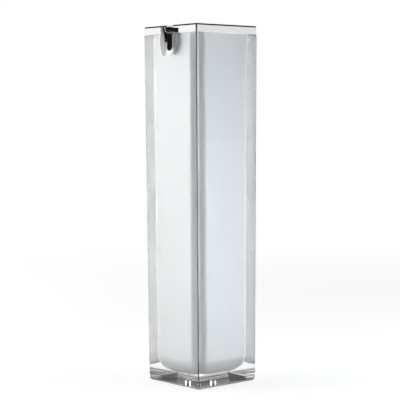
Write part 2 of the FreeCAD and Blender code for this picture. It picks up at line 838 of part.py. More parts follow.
# Ball cage: keeps the inlet ball down and carries the spring, with holes for the product.
cage = body_of("ball_cage")
cage_sketch = sketch_on(cage, "cage_outline", "XY_Plane")
disc(cage_sketch, "0", "0", "bore_radius - running_fit")
disc(cage_sketch, "0", "0", "cage_hole_radius")
pad(cage, "cage_pad", cage_sketch, "cage_low", "cage_thick")
flow_sketch = sketch_on(cage, "flow_outline", "XY_Plane")
disc(flow_sketch, "flow_hole_offset", "0", "flow_hole_radius")
flow_hole = pocket(cage, "flow_hole", flow_sketch, "cage_low - overrun", "overrun + cage_thick + overrun")
flow_holes = cage.newObject("PartDesign::PolarPattern", "flow_holes")
flow_holes.Originals = [flow_hole]
flow_holes.Axis = ([part for part in cage.Origin.OriginFeatures if part.Role == "Z_Axis"][0], [""])
flow_holes.Angle = 360
flow_holes.Occurrences = 4
cage.Tip = flow_holes
nodes["ball_cage"] = cage

# Valve balls, just clear of their seats.
for name, radius, middle in (
    ("inlet_ball", "inlet_ball_radius", "inlet_middle"),
    ("outlet_ball", "outlet_ball_radius", "outlet_middle"),
):
    ball = doc.addObject("Part::Sphere", name)
    bind(ball, Radius=radius)
    ball.setExpression("Placement.Base.z", spelled(middle))
    nodes[name] = ball

# Pump collar: closes the reservoir and carries the pump in its turret.
nodes["pump_collar"] = turned(
    "pump_collar",
    [
        ("housing_radius + running_fit", "collar_low"),
        ("plug_radius - plug_wall", "collar_low"),
        ("plug_radius - plug_wall", "plug_low"),
        ("plug_radius", "plug_low"),
        ("plug_radius", "collar_low"),
        ("reservoir_radius", "collar_low"),
        ("reservoir_radius", "collar_top"),
        ("flange_radius", "collar_top"),
        ("flange_radius", "flange_low"),
        ("housing_radius + running_fit", "flange_low"),
    ],
)

# Gasket between the reservoir's rim and the collar.
nodes["neck_gasket"] = turned(
    "neck_gasket",
    [
        ("well_radius + gasket_inset", "tube_top"),
        ("reservoir_radius - gasket_inset", "tube_top"),
        ("reservoir_radius - gasket_inset", "collar_low"),
        ("well_radius + gasket_inset", "collar_low"),
    ],
)

# Retainer: a square plate in the liner, round the collar's turret, that holds the collar down.
# Its corners have air holes.
retainer = body_of("retainer_plate")
retainer_sketch = sketch_on(retainer, "retainer_outline", "XY_Plane")
outline(retainer_sketch, rounded_square("retainer_half", "inner_corner"))
disc(retainer_sketch, "0", "0", "retainer_hole_radius")
pad(retainer, "retainer_pad", retainer_sketch, "collar_top", "retainer_thick")
air_sketch = sketch_on(retainer, "air_outline", "XY_Plane")
disc(air_sketch, "air_hole_offset", "air_hole_offset", "air_hole_radius")
air_hole = pocket(
    retainer, "air_hole", air_sketch, "collar_top - overrun", "overrun + retainer_thick + overrun"
)
air_holes = retainer.newObject("PartDesign::PolarPattern", "air_holes")
air_holes.Originals = [air_hole]
air_holes.Axis = ([part for part in retainer.Origin.OriginFeatures if part.Role == "Z_Axis"][0], [""])
air_holes.Angle = 360
air_holes.Occurrences = 4
retainer.Tip = air_holes
nodes["retainer_plate"] = retainer

# Reservoir: a plain tube that holds the product.
nodes["reservoir"] = turned(
    "reservoir",
    [
        ("well_radius", "disc_top"),
        ("reservoir_radius", "disc_top"),
        ("reservoir_radius", "tube_top"),
        ("well_radius", "tube_top"),
    ],
)

# Reservoir base: a vented disc on a ring foot, with a rim that plugs into the tube.
base = turned(
    "reservoir_base",
    [
        ("vent_radius", "disc_low"),
        ("stand_radius - stand_wall", "disc_low"),
        ("stand_radius - stand_wall", "floor_top"),
        ("stand_radius", "floor_top"),
        ("stand_radius", "disc_low"),
        ("reservoir_radius", "disc_low"),
        ("reservoir_radius", "disc_top"),
        ("plug_radius", "disc_top"),
        ("plug_radius", "base_plug_top"),
        ("plug_radius - plug_wall", "base_plug_top"),
        ("plug_radius - plug_wall", "disc_top"),
        ("vent_radius", "disc_top"),
    ],
)
vent_sketch = sketch_on(base, "vent_outline", "YZ_Plane")
outline(
    vent_sketch,
    [
        ("-vent_notch", "floor_top - overrun"),
        ("vent_notch", "floor_top - overrun"),
        ("vent_notch", "floor_top + vent_notch"),
        ("-vent_notch", "floor_top + vent_notch"),
    ],
)
pocket(base, "vent_pocket", vent_sketch, "-(stand_radius + overrun)", "2 * (stand_radius + overrun)")
nodes["reservoir_base"] = base

# Follower piston: rises in the reservoir as the product leaves. Its well clears the pump's nose.
nodes["follower_piston"] = turned(
    "follower_piston",
    [
        ("0", "follower_low"),
        ("follower_well_radius + follower_wall", "follower_low"),
        ("follower_well_radius + follower_wall", "follower_top - follower_wall"),
        ("follower_radius - follower_waist - follower_wall", "follower_top - follower_wall"),
        ("follower_radius - follower_waist - follower_wall", "follower_low"),
        ("follower_radius", "follower_low"),
        ("follower_radius", "follower_low + follower_band"),
        ("follower_radius - follower_waist", "follower_low + follower_band + follower_waist"),
        ("follower_radius - follower_waist", "follower_top - follower_band - follower_waist"),
        ("follower_radius", "follower_top - follower_band"),
        ("follower_radius", "follower_top"),
        ("follower_well_radius", "follower_top"),
        ("follower_well_radius", "follower_low + follower_wall"),
        ("0", "follower_low + follower_wall"),
    ],
)


def spring_path():
    """Points and directions along the spring's middle line, a quarter turn apart. Its first and
    last turns are closer than those between."""
    radius = value("spring_radius")
    low = value("cage_top + wire_radius + running_fit")
    high = value("cup_low - wire_radius - running_fit")
    closed = value("end_pitch") * END_TURNS
    open_turns = SPRING_TURNS - 2 * END_TURNS
    open_pitch = (high - low - 2 * closed) / open_turns
    spots = []
    for step in range(round(SPRING_TURNS * 4) + 1):
        turn = step / 4
        first = min(turn, END_TURNS)
        last = max(turn - END_TURNS - open_turns, 0)
        level = low + (first + last) * value("end_pitch") + (turn - first - last) * open_pitch
        at_end = turn < END_TURNS or turn > SPRING_TURNS - END_TURNS
        pitch = value("end_pitch") if at_end else open_pitch
        angle = 2 * math.pi * turn
        spot = Vector(radius * math.cos(angle), radius * math.sin(angle), level)
        way = Vector(-math.sin(angle), math.cos(angle), pitch / (2 * math.pi * radius))
        spots.append((spot, way.normalize()))
    return spots


def two_arcs(start, way, stop, onward):
    """Two arcs that join two points smoothly along their given directions."""
    gap = stop - start
    total = way + onward
    first = gap.dot(total)
    half = 2 * (1 - way.dot(onward))
    reach = (-first + math.sqrt(first**2 + half * gap.dot(gap))) / half
    joint = (start + way * reach + stop - onward * reach) / 2
    arcs = []
    for near, far, lead in ((start, joint, way), (joint, stop, None)):
        chord = far - near
        if lead is None:
            lead = (chord * (2 * chord.dot(onward)) / chord.dot(chord) - onward).normalize()
        across = chord - lead * chord.dot(lead)
        radius = chord.dot(chord) / (2 * across.Length)
        middle = near + across.normalize() * radius
        outward = ((near + far) / 2 - middle).normalize()
        arcs.append(Part.Arc(near, middle + outward * radius, far).toShape())
    return arcs


path = spring_path()
arcs = []
for (start, way), (stop, onward) in zip(path, path[1:]):
    arcs += two_arcs(start, way, stop, onward)
spring_line = Part.Wire(arcs)
wire = value("wire_radius")
first_spot, first_way = path[0]
outward = Vector(first_spot.x, first_spot.y, 0).normalize()
upward = first_way.cross(outward).normalize()
flats = [2 * math.pi * step / WIRE_FLATS for step in range(WIRE_FLATS + 1)]
rim = [first_spot + (outward * math.cos(turn) + upward * math.sin(turn)) * wire for turn in flats]
section = Part.makePolygon(rim)
spring = doc.addObject("Part::Feature", "return_spring")
spring.Shape = spring_line.makePipeShell([section], True, False)
spring.Placement = Placement()
nodes["return_spring"] = spring
whole = Part.Face(section).Area * spring_line.Length
print("spring volume over section times length", round(spring.Shape.Volume / whole, 4))
samples = spring_line.discretize(round(SPRING_TURNS * TURN_POINTS))
least = min(
    (one - other).Length - 2 * wire
    for number, one in enumerate(samples)
    for other in samples[number + round(TURN_POINTS / 2) :]
)
print("spring's least gap to itself", round(least, 3))

doc.recompute()
for item in doc.Objects:
    if "Invalid" in item.State or "Error" in item.State:
        raise RuntimeError(f"{item.Name} failed")
for sketch in doc.findObjects("Sketcher::SketchObject"):
    if not sketch.FullyConstrained:
        raise RuntimeError(f"{sketch.Name} is loose")
for name, item in nodes.items():
    item.Label = name
    shape = item.Shape
    if shape.isNull() or not shape.isValid() or len(shape.Solids) != 1:
        raise RuntimeError(f"{name} is not one sound solid")
os.makedirs("parts", exist_ok=True)
for name, item in nodes.items():
    item.Shape.exportStep(f"parts/{name}.step")
print("follower travel", round(value("follower_travel"), 3))
print("capacity in ml", round(math.pi * value("well_radius") ** 2 * value("follower_travel") / 1000, 2))
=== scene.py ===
import json
import math

import bmesh
import bpy
from mathutils import Matrix, Vector


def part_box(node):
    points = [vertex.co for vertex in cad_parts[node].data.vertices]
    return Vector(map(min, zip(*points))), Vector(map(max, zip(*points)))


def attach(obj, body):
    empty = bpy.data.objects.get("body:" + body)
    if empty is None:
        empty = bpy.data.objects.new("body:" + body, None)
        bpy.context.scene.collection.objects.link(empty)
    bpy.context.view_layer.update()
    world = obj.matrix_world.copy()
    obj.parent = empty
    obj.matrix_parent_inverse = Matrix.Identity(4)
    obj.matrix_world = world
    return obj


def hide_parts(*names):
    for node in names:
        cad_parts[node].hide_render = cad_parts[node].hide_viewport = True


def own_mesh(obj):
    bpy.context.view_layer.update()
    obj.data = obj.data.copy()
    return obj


# The dressed look of a square airless pump bottle: clear acrylic over a satin liner, with a
# chromed frame, button, slot bezel and spout, and a spring inside that the stroke squeezes.
# Metres, Z up, spout towards minus X.

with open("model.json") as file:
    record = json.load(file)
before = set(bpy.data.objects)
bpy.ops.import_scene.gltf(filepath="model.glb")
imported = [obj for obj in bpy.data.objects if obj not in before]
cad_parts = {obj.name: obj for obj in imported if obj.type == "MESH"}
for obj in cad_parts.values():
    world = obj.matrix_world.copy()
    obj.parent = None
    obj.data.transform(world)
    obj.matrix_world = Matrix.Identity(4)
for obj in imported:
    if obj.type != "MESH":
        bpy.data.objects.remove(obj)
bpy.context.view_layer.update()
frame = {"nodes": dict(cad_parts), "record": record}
scene = bpy.context.scene
MM = 0.001

# Sizes read from the frame
shell_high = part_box("outer_shell")[1]
liner_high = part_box("inner_liner")[1]
frame_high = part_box("cap_frame")[1]
button_low, button_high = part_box("button_plate")
bezel_low, bezel_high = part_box("slot_bezel")
spout_low, spout_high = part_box("spout")
core_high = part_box("actuator_core")[1]

# Draft of the bottle, and the liner's rounds and walls
FOOT_HALF = 15.7 * MM
DRAFT = (shell_high.x - FOOT_HALF) / shell_high.z
LINER_CORNER = 3.6 * MM
LINER_FOOT = 6.2 * MM
LINER_WALL = 1.1 * MM
LINER_FLOOR = 3.5 * MM
REBATE_STEP = 0.5 * MM
REBATE_HEIGHT = 2.0 * MM
# Clear shell
BASE_CLEAR = 4.8 * MM
FOOT_BREAK = 1.5 * MM
# Round of the upright edges, which the frame's cut corners follow
EDGE_BREAK = 0.4 * MM
# Painted shade on the clear shell: the share of its clear tone left on the polished upright edges and on
# the foot's round, darker than the flat faces
UPRIGHT_PAINTED_SHADE = 0.08
FOOT_PAINTED_SHADE = 0.2
# Where that painted shade sets in on the uprights and on the foot, and where it ends towards the underside,
# as shares of the rounds
UPRIGHT_FADE_SHARE = 1.2
FOOT_FADE_SHARE = 0.9
UNDER_START_SHARE = 0.01
UNDER_END_SHARE = 0.03
GATE_RADIUS = 1.5 * MM
GATE_DEPTH = 1.0 * MM
GATE_STEPS = 32
OVERRUN = 5 * MM
# Liner and bezel reach this far into the clear wall, so that light passes without an air gap
CONTACT = 0.02 * MM
# The frame keeps this far off the clear wall
AIR_GAP = 0.02 * MM

# Frame and button
FRAME_BREAK = 1.1 * MM
FINE_BREAK = 0.07 * MM
OPENING_GAP = 0.3 * MM
BUTTON_CORNER = 1.6 * MM
BUTTON_BREAK = 0.2 * MM
NOTCH_HALF = 1.95 * MM

# Slot bezel
BEZEL_WALL = 0.55 * MM
BEZEL_SILL = 1.0 * MM
BEZEL_BREAK = 0.2 * MM

# Spout
NECK_HALF = 1.6 * MM
NECK_HEIGHT = 2.2 * MM
NECK_BREAK = 0.15 * MM
LEAF_HALF = 2.25 * MM
LEAF_HEAD_HALF = 0.85 * MM
LEAF_TIP_HALF = 0.35 * MM
LEAF_THICK = 1.1 * MM
# How deep the neck sits in the leaf
NECK_SINK = LEAF_THICK / 3
LEAF_BREAK = 0.2 * MM
# The leaf's sides slant: its front is this share of its width
LEAF_FRONT_SHARE = 0.78
LEAF_LEAN = 0.3 * MM
LEAF_CROWN = 0.55 * MM
TIP_CURL = 0.6 * MM
# Height of the leaf's widest row, the share of an ellipse that its outline bows by, and the share of
# the tip's curl that its back follows
WAIST_SHARE = 0.52
LEAF_BOW_SHARE = 0.8
TIP_BACK_SHARE = 0.6
# The leaf's front has an etch: the X of its normal up to which it fully has it, and where the rounds begin.
# What faces down, by the Z of its normal, gets the same darker tone as painted shade, with the etch's
# roughness and relief
ETCHED_FULL = -0.88
ETCHED_END = -0.82
SHADED_UNDER_FULL = -0.04
SHADED_UNDER_END = -0.005

# Flat margin beside a round, which keeps its shading off the flat face
ROUND_MARGIN = 0.2 * MM
# The same above the liner's round foot
FOOT_MARGIN = 1.0 * MM
# Points this near a level or a side count as on it
NEARLY = 0.1 * MM

# Angles in degrees above which an edge is shaded sharp: in general, on the shell and on the frame.
# Then those above which an edge is bevelled: in general, and only between square faces
SHARP = 30
SHELL_SHARP = 20
FRAME_SHARP = 25
BEVEL_FROM = 40
SQUARE_FROM = 60

# Counts of steps on rounds and long forms
CORNER_STEPS = 14
FOOT_STEPS = 20
LEAF_ROWS = 44
LEAF_STEPS = 12
U_STEPS = 32
FOOT_EDGE_STEPS = 8
UPRIGHT_STEPS = 6
FRAME_STEPS = 5
FINE_STEPS = 2
BUTTON_STEPS = 4
LEAF_EDGE_STEPS = 5

# A noise's values lie mostly between these
NOISE_LOW = 0.3
NOISE_HIGH = 0.7
# Heights of the fine reliefs
LINER_GRAIN = 0.004 * MM
CHROME_WAVE = 0.01 * MM
ETCH_DEPTH = 0.1 * MM
MOULD_GRAIN = 0.003 * MM
DRAWN_GRAIN = 0.003 * MM


# Materials

def add(tree, kind, **values):
    """A node of that kind with the given sockets set."""
    node = tree.nodes.new(kind)
    for name, value in values.items():
        node.inputs[name.replace("_", " ")].default_value = value
    return node


def plain_shader(name, **sockets):
    """A material with one principled shader, its uniform values set on the sockets."""
    material = bpy.data.materials.new(name)
    material.use_nodes = True
    tree = material.node_tree
    shader = tree.nodes["Principled BSDF"]
    for socket, value in sockets.items():
        shader.inputs[socket.replace("_", " ")].default_value = value
    return material, tree, shader


def noise(tree, scale, detail=3.0, stretch=(1, 1, 1)):
    """A noise over the object's own space, drawn out by stretch. The scale counts spots in a metre."""
    coords = tree.nodes.new("ShaderNodeTexCoord")
    mapping = add(tree, "ShaderNodeMapping", Scale=stretch)
    texture = add(tree, "ShaderNodeTexNoise", Scale=scale, Detail=detail)
    tree.links.new(coords.outputs["Object"], mapping.inputs["Vector"])
    tree.links.new(mapping.outputs["Vector"], texture.inputs["Vector"])
    return texture.outputs["Fac"]


def tint(tree, factor, shader, low, high):
    """Base colour between two tones, by the factor."""
    ramp = tree.nodes.new("ShaderNodeValToRGB")
    ramp.color_ramp.elements[0].position = NOISE_LOW
    ramp.color_ramp.elements[1].position = NOISE_HIGH
    ramp.color_ramp.elements[0].color = (*low, 1)
    ramp.color_ramp.elements[1].color = (*high, 1)
    tree.links.new(factor, ramp.inputs["Fac"])
    tree.links.new(ramp.outputs["Color"], shader.inputs["Base Color"])


def polish(tree, factor, shader, low, high):
    """Roughness between two values, by the factor."""
    spread = add(tree, "ShaderNodeMapRange")
    spread.inputs["From Min"].default_value = NOISE_LOW
    spread.inputs["From Max"].default_value = NOISE_HIGH
    spread.inputs["To Min"].default_value = low
    spread.inputs["To Max"].default_value = high
    tree.links.new(factor, spread.inputs["Value"])
    tree.links.new(spread.outputs["Result"], shader.inputs["Roughness"])


def relief(tree, factor, shader, height, strength=1.0):
    """Bump of that height, by the factor."""
    bump = add(tree, "ShaderNodeBump", Strength=strength, Distance=height)
    tree.links.new(factor, bump.inputs["Height"])
    tree.links.new(bump.outputs["Normal"], shader.inputs["Normal"])


def math_of(tree, operation, first, second):
    """A math node on two values, each a number or a socket."""
    node = tree.nodes.new("ShaderNodeMath")
    node.operation = operation
    for place, value in enumerate((first, second)):
        if isinstance(value, bpy.types.NodeSocket):
            tree.links.new(value, node.inputs[place])
        else:
            node.inputs[place].default_value = value
    return node.outputs["Value"]


def stepped(tree, value, start, full, before, after):
    """A smooth step of a value, from before at the start to after where it is full."""
    node = add(tree, "ShaderNodeMapRange")
    node.interpolation_type = "SMOOTHSTEP"
    for socket, number in (("From Min", start), ("From Max", full), ("To Min", before), ("To Max", after)):
        node.inputs[socket].default_value = number
    tree.links.new(value, node.inputs["Value"])
    return node.outputs["Result"]


def own_place(tree, kind="Object"):
    """The three coordinates of a point, or of its normal, in the object's own space."""
    coords = tree.nodes.new("ShaderNodeTexCoord")
    apart = tree.nodes.new("ShaderNodeSeparateXYZ")
    tree.links.new(coords.outputs[kind], apart.inputs["Vector"])
    return [apart.outputs[axis] for axis in "XYZ"]


def clear_acrylic():
    """Clear plastic, with painted shade that darkens the shell's upright edges and the round of its foot.
    """
    material, tree, shader = plain_shader("clear_acrylic", IOR=1.49, Transmission_Weight=1.0)
    tint(tree, noise(tree, 40), shader, (0.985, 0.99, 0.992), (0.995, 0.998, 1.0))
    clear = shader.inputs["Base Color"].links[0].from_socket
    across, along, level = own_place(tree)
    spread = math_of(tree, "ADD", math_of(tree, "ABSOLUTE", across, 0), math_of(tree, "ABSOLUTE", along, 0))
    width = math_of(tree, "MULTIPLY_ADD", level, 2 * DRAFT)
    width.node.inputs[2].default_value = 2 * FOOT_HALF
    corner = math_of(tree, "SUBTRACT", spread, width)
    # Painted shade: the clear tone darkens on the upright edges and on the foot's round, but not on the
    # underside
    upright_shade = stepped(tree, corner, -UPRIGHT_FADE_SHARE * EDGE_BREAK, -EDGE_BREAK, 1.0, UPRIGHT_PAINTED_SHADE)
    foot = stepped(tree, level, FOOT_FADE_SHARE * FOOT_BREAK, FOOT_BREAK, FOOT_PAINTED_SHADE, 1.0)
    under = stepped(tree, level, UNDER_START_SHARE * FOOT_BREAK, UNDER_END_SHARE * FOOT_BREAK, 1.0, 0.0)
    edge = math_of(tree, "MULTIPLY", upright_shade, math_of(tree, "MAXIMUM", foot, under))
    shaded_clear = tree.nodes.new("ShaderNodeVectorMath")
    shaded_clear.operation = "SCALE"
    tree.links.new(clear, shaded_clear.inputs[0])
    tree.links.new(edge, shaded_clear.inputs["Scale"])
    tree.links.new(shaded_clear.outputs["Vector"], shader.inputs["Base Color"])
    polish(tree, noise(tree, 900), shader, 0.0, 0.012)
    return material


def satin_liner():
    material, tree, shader = plain_shader("satin_liner", Metallic=0.12)
    tint(tree, noise(tree, 2600, 4), shader, (0.9, 0.915, 0.92), (0.925, 0.937, 0.942))
    polish(tree, noise(tree, 500), shader, 0.36, 0.44)
    relief(tree, noise(tree, 9000), shader, LINER_GRAIN, 0.4)
    return material


def chrome():
    material, tree, shader = plain_shader("chrome", Metallic=1.0)
    tint(tree, noise(tree, 120), shader, (0.9, 0.905, 0.915), (0.94, 0.943, 0.95))
    polish(tree, noise(tree, 1500, 5), shader, 0.02, 0.06)
    relief(tree, noise(tree, 160), shader, CHROME_WAVE, 0.15)
    return material


def etched_and_shaded_chrome():
    """Chrome with an etch on the front of the spout's leaf, and painted shade, a darker tone, where it
    faces down.
    """
    material, tree, shader = plain_shader("etched_and_shaded_chrome", Metallic=1.0)
    facing_x, _, facing_z = own_place(tree, "Normal")
    front = stepped(tree, facing_x, ETCHED_FULL, ETCHED_END, 1.0, 0.0)
    under = stepped(tree, facing_z, SHADED_UNDER_FULL, SHADED_UNDER_END, 1.0, 0.0)
    etch_and_shade = math_of(tree, "MAXIMUM", front, under)
    # The darker tone is the etch's own on the leaf's front, and painted shade where the chrome faces down
    tint(tree, etch_and_shade, shader, (0.92, 0.925, 0.93), (0.56, 0.57, 0.575))
    polish(tree, etch_and_shade, shader, 0.04, 0.4)
    relief(tree, math_of(tree, "MULTIPLY", noise(tree, 1700), etch_and_shade), shader, ETCH_DEPTH, 0.8)
    return material


def moulded(name, low, high, rough, **sockets):
    """A moulded plastic with faint flow marks and a fine grain."""
    material, tree, shader = plain_shader(name, **sockets)
    tint(tree, noise(tree, 220, 3, (1, 1, 0.3)), shader, low, high)
    polish(tree, noise(tree, 1800), shader, rough - 0.06, rough + 0.06)
    relief(tree, noise(tree, 5200), shader, MOULD_GRAIN, 0.3)
    return material


def drawn_steel(name, low, high, rough, stretch):
    """A steel with fine drawing marks along the given way."""
    material, tree, shader = plain_shader(name, Metallic=1.0)
    marks = noise(tree, 3000, 4, stretch)
    tint(tree, marks, shader, low, high)
    polish(tree, marks, shader, rough - 0.05, rough + 0.08)
    relief(tree, marks, shader, DRAWN_GRAIN, 0.4)
    return material


materials = {
    "clear_acrylic": clear_acrylic(),
    "satin_liner": satin_liner(),
    "chrome": chrome(),
    "white_plastic": moulded("white_plastic", (0.83, 0.83, 0.815), (0.89, 0.89, 0.88), 0.38),
    "black_plastic": moulded("black_plastic", (0.014, 0.014, 0.015), (0.026, 0.026, 0.027), 0.42),
    "natural_plastic": moulded(
        "natural_plastic", (0.78, 0.8, 0.8), (0.86, 0.875, 0.875), 0.3, Transmission_Weight=0.35
    ),
    "soft_plastic": moulded("soft_plastic", (0.86, 0.86, 0.835), (0.91, 0.91, 0.89), 0.48),
    "seal_rubber": moulded("seal_rubber", (0.68, 0.68, 0.655), (0.75, 0.75, 0.73), 0.62),
    "spring_steel": drawn_steel("spring_steel", (0.52, 0.53, 0.55), (0.66, 0.67, 0.69), 0.24, (1, 1, 0.2)),
    "ball_steel": drawn_steel("ball_steel", (0.62, 0.63, 0.65), (0.74, 0.75, 0.77), 0.14, (1, 1, 1)),
}
for part in frame["record"]["subparts"]:
    node = frame["nodes"][part["node"]]
    node.data.materials.clear()
    node.data.materials.append(materials[part["material_slot"]])


# Meshes

def piece_of(name, mesh, slot, body, *replaced):
    """Puts a mesh into the scene as a piece that stands for CAD nodes."""
    piece = bpy.data.objects.new(name, mesh)
    scene.collection.objects.link(piece)
    mesh.materials.append(materials[slot])
    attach(piece, body)
    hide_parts(*replaced)
    return piece


def keep_flat(piece):
    """Shades the large flat faces of a piece as flat, up to the rounds beside them."""
    flats = piece.modifiers.new("flats", "WEIGHTED_NORMAL")
    flats.keep_sharp = True
    flats.weight = 100


def mesh_of(name, build, sharp_angle=SHARP):
    """A mesh from a bmesh, smooth but for edges sharper than the angle."""
    mesh = bpy.data.meshes.new(name)
    bmesh.ops.recalc_face_normals(build, faces=build.faces)
    build.to_mesh(mesh)
    build.free()
    mesh.shade_smooth()
    mesh.set_sharp_from_angle(angle=math.radians(sharp_angle))
    return mesh


def rounded_square(half, corner, steps, margin=0.0):
    """Points round a square with rounded corners, with one more point a margin away from each
    end of a round."""
    points = []
    for quarter in range(4):
        turn = Matrix.Rotation(quarter * math.pi / 2, 2)
        middle = Vector((half - corner, half - corner))
        if margin:
            points.append(turn @ Vector((half, half - corner - margin)))
        for step in range(steps + 1):
            angle = step / steps * math.pi / 2
            points.append(turn @ (middle + corner * Vector((math.cos(angle), math.sin(angle)))))
        if margin:
            points.append(turn @ Vector((half - corner - margin, half)))
    return points


def prism(outline, place, depth):
    """A bmesh of an outline drawn out by the vector depth. Place turns a point of the outline
    into one of space."""
    build = bmesh.new()
    near = [build.verts.new(place(point)) for point in outline]
    far = [build.verts.new(vert.co + depth) for vert in near]
    build.faces.new(near)
    build.faces.new(reversed(far))
    count = len(outline)
    for number in range(count):
        following = (number + 1) % count
        build.faces.new((near[number], far[number], far[following], near[following]))
    bmesh.ops.recalc_face_normals(build, faces=build.faces)
    return build


def skinned(rings):
    """A closed bmesh through rings of points, all of one count."""
    build = bmesh.new()
    before = None
    for points in rings:
        ring = [build.verts.new(point) for point in points]
        if before:
            count = len(ring)
            for number in range(count):
                following = (number + 1) % count
                build.faces.new((before[number], before[following], ring[following], ring[number]))
        else:
            build.faces.new(reversed(ring))
        before = ring
    build.faces.new(before)
    bmesh.ops.recalc_face_normals(build, faces=build.faces)
    return build


def bevel(build, edges, width, segments=3):
    """Rounds the edges by the width."""
    bmesh.ops.bevel(
        build,
        geom=edges,
        offset=width,
        offset_type="OFFSET",
        segments=segments,
        profile=0.5,
        affect="EDGES",
        clamp_overlap=True,
    )


def sharp_edges(build, least_angle=BEVEL_FROM):
    """The edges whose faces turn by more than the angle."""
    return [edge for edge in build.edges if edge.calc_face_angle(0) > math.radians(least_angle)]


def combined(name, target, tool, operation):
    """The bmesh that a boolean of two others gives. Both are used up."""
    holders = []
    for label, build in (("target", target), ("tool", tool)):
        mesh = bpy.data.meshes.new(f"{name}_{label}")
        build.to_mesh(mesh)
        build.free()
        holder = bpy.data.objects.new(f"{name}_{label}", mesh)
        scene.collection.objects.link(holder)
        holders.append(holder)
    modifier = holders[0].modifiers.new("boolean", "BOOLEAN")
    modifier.operation = operation
    modifier.solver = "EXACT"
    modifier.object = holders[1]
    shown = holders[0].evaluated_get(bpy.context.evaluated_depsgraph_get())
    result = bmesh.new()
    result.from_mesh(shown.to_mesh())
    shown.to_mesh_clear()
    for holder in holders:
        mesh = holder.data
        bpy.data.objects.remove(holder)
        bpy.data.meshes.remove(mesh)
    return result


def slot_outline(half, middle, top):
    """A slot with a round foot, as points (y, z) from its top left to its top right."""
    points = [Vector((-half, top))]
    for step in range(U_STEPS + 1):
        angle = math.pi + step / U_STEPS * math.pi
        points.append(Vector((half * math.cos(angle), middle + half * math.sin(angle))))
    points.append(Vector((half, top)))
    return points


# Liner and shell share the rings of the liner's outside, from the foot up to the mouth

def wall_rings(half_at_top, corner, foot, floor, levels):
    """Rings as (half width, corner radius, level) of a drafted wall with a round foot."""
    rings = []
    for step in range(FOOT_STEPS + 1):
        angle = step / FOOT_STEPS * math.pi / 2
        level = floor + foot * (1 - math.cos(angle))
        half = half_at_top - DRAFT * (liner_high.z - level) - foot * (1 - math.sin(angle))
        rings.append((half, corner, level))
    for level in levels:
        rings.append((half_at_top - DRAFT * (liner_high.z - level), corner, level))
    return rings


def outside_rings(grow, top):
    """Rings of the liner's outside, grown by a margin."""
    floor = BASE_CLEAR - grow
    levels = [floor + LINER_FOOT + FOOT_MARGIN, top]
    return wall_rings(liner_high.x + grow, LINER_CORNER, LINER_FOOT, floor, levels)


def lofted(rings):
    """A closed bmesh through rounded squares."""
    return skinned(
        [(point.x, point.y, level) for point in rounded_square(half, corner, CORNER_STEPS, ROUND_MARGIN)]
        for half, corner, level in rings
    )


def slot_tool():
    """What the slot takes from the front wall."""
    middle = bezel_low.z + bezel_high.y
    return prism(
        slot_outline(bezel_high.y, middle, shell_high.z + OVERRUN),
        lambda point: Vector((-shell_high.x - OVERRUN, point.x, point.y)),
        Vector((2 * OVERRUN + shell_high.x - liner_high.x, 0, 0)),
    )


def make_liner():
    top = liner_high.z
    inner_half = liner_high.x - LINER_WALL
    inner_corner = LINER_CORNER - LINER_WALL
    rebate_half = inner_half + REBATE_STEP
    rebate_low = top - REBATE_HEIGHT
    floor = BASE_CLEAR + LINER_FLOOR
    inside = wall_rings(inner_half, inner_corner, inner_corner, floor, [rebate_low])
    rings = outside_rings(CONTACT, top)
    rings.append((rebate_half, inner_corner + REBATE_STEP, top))
    rings.append((rebate_half, inner_corner + REBATE_STEP, rebate_low))
    build = lofted(rings + inside[::-1])
    mesh = mesh_of("satin_liner", combined("satin_liner", build, slot_tool(), "DIFFERENCE"))
    piece_of("satin_liner", mesh, "satin_liner", "bottle", "inner_liner")


def make_shell():
    rings = []
    for step in range(FOOT_EDGE_STEPS + 1):
        angle = step / FOOT_EDGE_STEPS * math.pi / 2
        level = FOOT_BREAK * (1 - math.cos(angle))
        rings.append((FOOT_HALF + DRAFT * level - FOOT_BREAK * (1 - math.sin(angle)), level))
    rings.append((shell_high.x, shell_high.z))
    build = skinned(
        [(point.x, point.y, level) for point in rounded_square(half, EDGE_BREAK, UPRIGHT_STEPS)]
        for half, level in rings
    )
    cavity = lofted(outside_rings(0, shell_high.z + OVERRUN))
    build = combined("shell_cavity", build, cavity, "DIFFERENCE")
    build = combined("shell_slot", build, slot_tool(), "DIFFERENCE")
    gate = prism(
        [
            GATE_RADIUS * Vector((math.cos(angle), math.sin(angle)))
            for angle in (step / GATE_STEPS * 2 * math.pi for step in range(GATE_STEPS))
        ],
        lambda point: Vector((point.x, point.y, -OVERRUN)),
        Vector((0, 0, OVERRUN + GATE_DEPTH)),
    )
    build = combined("shell_gate", build, gate, "DIFFERENCE")
    mesh = mesh_of("clear_shell", build, SHELL_SHARP)
    keep_flat(piece_of("clear_shell", mesh, "clear_acrylic", "bottle", "outer_shell"))


# Frame: a square ring with a notch, so that its outline is one closed line

